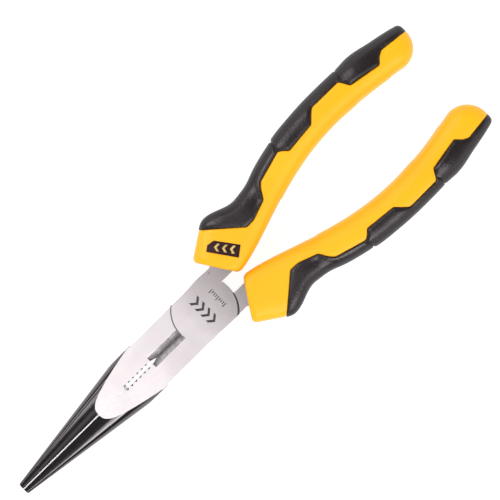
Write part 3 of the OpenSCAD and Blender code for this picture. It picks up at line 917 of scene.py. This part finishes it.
def vee_outlines():
    """Three vees in a row along the tablet."""
    start, end = np.array([-22.6, -6.3]), np.array([-16.4, -14.1])
    along = (end - start) / np.linalg.norm(end - start)
    across = np.array([-along[1], along[0]])
    vee = np.array([(-1.0, -1.3), (-0.1, -1.3), (0.9, 0.0), (-0.1, 1.3), (-1.0, 1.3), (0.0, 0.0)])
    return [start + (end - start) * (0.22 + 0.27 * k) + vee[:, :1] * along + vee[:, 1:] * across
            for k in range(3)]


def within(points, outline):
    """True for points inside an outline: a ray to +X crosses its sides an odd number of times."""
    a, b = outline[None], np.roll(outline, -1, 0)[None]
    x, y = points[:, :1], points[:, 1:2]
    spans = (a[..., 1] > y) != (b[..., 1] > y)
    rise = np.where(b[..., 1] == a[..., 1], 1, b[..., 1] - a[..., 1])
    crossing = a[..., 0] + (y - a[..., 1]) * (b[..., 0] - a[..., 0]) / rise
    return np.sum(spans & (x < crossing), 1) % 2 == 1


combine(front_core, plate("pocket", inset(badge_line, -0.08), BADGE_LOW - 0.05, BADGE_LOW + 9),
        "DIFFERENCE")
# The inlay: a rim all round, a field that stands a little higher, and three vees higher still.
badge = skin_deep("badge_tablet", badge_line, 0.04)
combine(badge, skin_deep("raised", inset(badge_line, 0.16), 0.12), "UNION")
for outline in vee_outlines():
    combine(badge, skin_deep("vee", outline, 0.17), "UNION")

for obj, finishes, angle in ((front_core, [yellow], 38), (rear_core, [yellow], 38),
                             (front_pad, [rubber], 50), (rear_pad, [rubber], 50),
                             (badge, [enamel, gilt], 28)):
    obj.data.materials.clear()
    for finish in finishes:
        obj.data.materials.append(finish)
    smooth(obj, angle)
centre, normal = face_data(badge.data)
gold = np.any([within(centre, outline) for outline in vee_outlines()], axis=0) & (normal[:, 2] > 0.5)
badge.data.polygons.foreach_set("material_index", gold.astype(np.int32))
for obj in (rear_core, rear_pad):
    to_rear(obj)

# Each piece with its body, its material slot and the CAD node whose place it takes.
for obj, body, slot, node in (
    (front_lever, "front_half", "steel", "front_lever"),
    (rear_lever, "rear_half", "steel", "rear_lever"),
    (rivet, "front_half", "rivet_steel", "pivot_rivet"),
    (front_core, "front_half", "grip_yellow", "front_grip_core"),
    (rear_core, "rear_half", "grip_yellow", "rear_grip_core"),
    (front_pad, "front_half", "grip_black", "front_grip_pad"),
    (rear_pad, "rear_half", "grip_black", "rear_grip_pad"),
    (badge, "front_half", "badge_dark", "grip_badge"),
):
    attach(obj, body)
    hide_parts(node)

# ---- Floor, light and camera ---------------------------------------------------------------------
FLOOR_HALF = 3.0                        # half width of the floor, in metres
floor_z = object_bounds()[0][2]
corners = [(x * FLOOR_HALF, y * FLOOR_HALF, floor_z) for x, y in ((-1, -1), (1, -1), (1, 1), (-1, 1))]
floor_mesh = bpy.data.meshes.new("floor")
floor_mesh.from_pydata(corners, [], [(0, 1, 2, 3)])
floor_mesh.materials.append(paper)
floor = new_object("floor", floor_mesh)


def area_light(name, place, size, power, aim):
    """A soft panel that faces aim; size is its width and height, the width lying level."""
    data = bpy.data.lights.new(name, "AREA")
    data.shape = "RECTANGLE"
    data.size, data.size_y = size
    data.energy = power
    lamp = new_object(name, data)
    lamp.location = place
    lamp.rotation_mode = "QUATERNION"
    lamp.rotation_quaternion = (Vector(aim) - Vector(place)).to_track_quat("-Z", "Y")


PLAIN = 0.62                            # brightness of the plain surroundings
LOW_SIDES = 1.5                         # and of their low part to either side
SKY_GAIN = 8.0                          # brightness of a full white stop in the sky


def stops(tree, fac, places):
    """Grey ramp through (place, brightness) pairs, with brightness up to the sky's gain."""
    node = add(tree, "ShaderNodeValToRGB", {"Fac": fac})
    points = node.color_ramp.elements
    points[0].position, points[1].position = places[0][0], places[-1][0]
    for place, _ in places[1:-1]:
        points.new(place)
    for point, (_, level) in zip(points, places):
        point.color = (level / SKY_GAIN,) * 3 + (1,)
    return node.outputs["Color"]


def studio_sky():
    """Plain white surroundings, brighter low down at the sides, with bands that run ahead and behind along
    X. A soft box a little ahead of straight up is what the ground faces mirror; it fades over the joint and
    the handles. A wing to either side of it, brighter still, lights the milled and bevelled faces. Ahead of
    both a dark strip crosses the sky from side to side, with bright gaps in it: the polished nose mirrors
    that strip. ahead is the X of a direction, and lean its angle from straight up towards either side."""
    world = bpy.data.worlds.new("studio")
    bpy.context.scene.world = world
    world.use_nodes = True
    tree = world.node_tree
    tree.nodes.clear()
    way = add(tree, "ShaderNodeSeparateXYZ", {0: add(tree, "ShaderNodeTexCoord").outputs["Generated"]})
    ahead = ranged(tree, way.outputs["X"], -1, 1, 0, 1)
    lean = add(tree, "ShaderNodeMath", {0: way.outputs["Y"], 1: way.outputs["Z"]}, operation="ARCTAN2")
    around = ranged(tree, lean.outputs[0], -np.pi, np.pi, 0, 1)
    wide = add(tree, "ShaderNodeMath", {0: lean.outputs[0]}, operation="ABSOLUTE").outputs[0]

    # Brightness against ahead for the soft box and the wings, and against lean in degrees for the strip.
    box_stops = [(-1, PLAIN), (-0.62, PLAIN), (-0.5, 0.25), (-0.09, 0.25), (0, 0.36), (0.03, 0.62),
                 (0.06, 1.45), (0.09, 2.3), (0.2, 2.3), (0.26, 0.1), (0.6, 0.1), (0.66, PLAIN), (1, PLAIN)]
    wing_stops = [(-1, PLAIN), (-0.62, PLAIN), (-0.5, 0.3), (-0.05, 0.3), (0.03, 1.5), (0.08, 8.0),
                  (0.22, 8.0), (0.27, PLAIN), (1, PLAIN)]
    around_stops = [(-180, 1), (-120, 0.8), (-114, 0.1), (-76, 0.1), (-69, 0.7), (-65, 4.5), (-61, 0.7),
                    (-53, 0.1), (-14, 0.08), (-8, 0.6), (-4, 0.6), (-1, 0.12), (36, 0.22), (44, 1.0),
                    (49, 5.5), (54, 1.0), (62, 0.1), (92, 0.1), (98, 0.9), (180, 1)]
    strip = stops(tree, around, [((a + 180) / 360, level) for a, level in around_stops])
    low_down = ranged(tree, wide, np.radians(52), np.radians(72), 0, 1)
    sky = stops(tree, low_down, [(0, PLAIN), (1, LOW_SIDES)])
    for places, inner, outer in ((wing_stops, 44, 54), (box_stops, 17, 25)):
        bar_of_sky = stops(tree, ahead, [((x + 1) / 2, level) for x, level in places])
        over = ranged(tree, wide, np.radians(inner), np.radians(outer), 1, 0)
        sky = blend_colors(tree, over, sky, bar_of_sky)
    in_strip = stops(tree, ahead, [((x + 1) / 2, level * SKY_GAIN) for x, level in
                                   [(-1, 0), (0.24, 0), (0.29, 1), (0.54, 1), (0.6, 0), (1, 0)]])
    sky = blend_colors(tree, in_strip, sky, strip)
    back = add(tree, "ShaderNodeBackground", {"Color": sky, "Strength": SKY_GAIN})
    out = add(tree, "ShaderNodeOutputWorld")
    tree.links.new(back.outputs["Background"], out.inputs["Surface"])


studio_sky()
MIDDLE = (-0.03, 0, 0)                  # where both panels are aimed
area_light("key", (0.15, -0.55, 0.75), (0.5, 0.5), 1.6, MIDDLE)
area_light("fill", (0.1, 0.6, 0.7), (0.6, 0.4), 2.4, MIDDLE)

VIEW_X, VIEW_Y = -0.02527, -0.00372     # point under the lens
ROLL = np.radians(44.643)               # turn of the long axis from level
LENS, SENSOR = 120.0, 36.0
FIELD, FIELD_Z = 0.1695, 0.007          # width that the camera sees, at this height
camera_data = bpy.data.cameras.new("camera")
camera_data.lens = LENS
camera_data.sensor_width = SENSOR
camera = new_object("camera", camera_data)
right = Vector((-np.cos(ROLL), np.sin(ROLL), 0))
up = Vector((-np.sin(ROLL), -np.cos(ROLL), 0))
height = FIELD * LENS / SENSOR + FIELD_Z
turn = Matrix((right, up, right.cross(up))).transposed().to_4x4()
camera.matrix_world = Matrix.Translation((VIEW_X, VIEW_Y, height)) @ turn
bpy.context.scene.camera = camera
bpy.context.scene.view_settings.view_transform = "Standard"
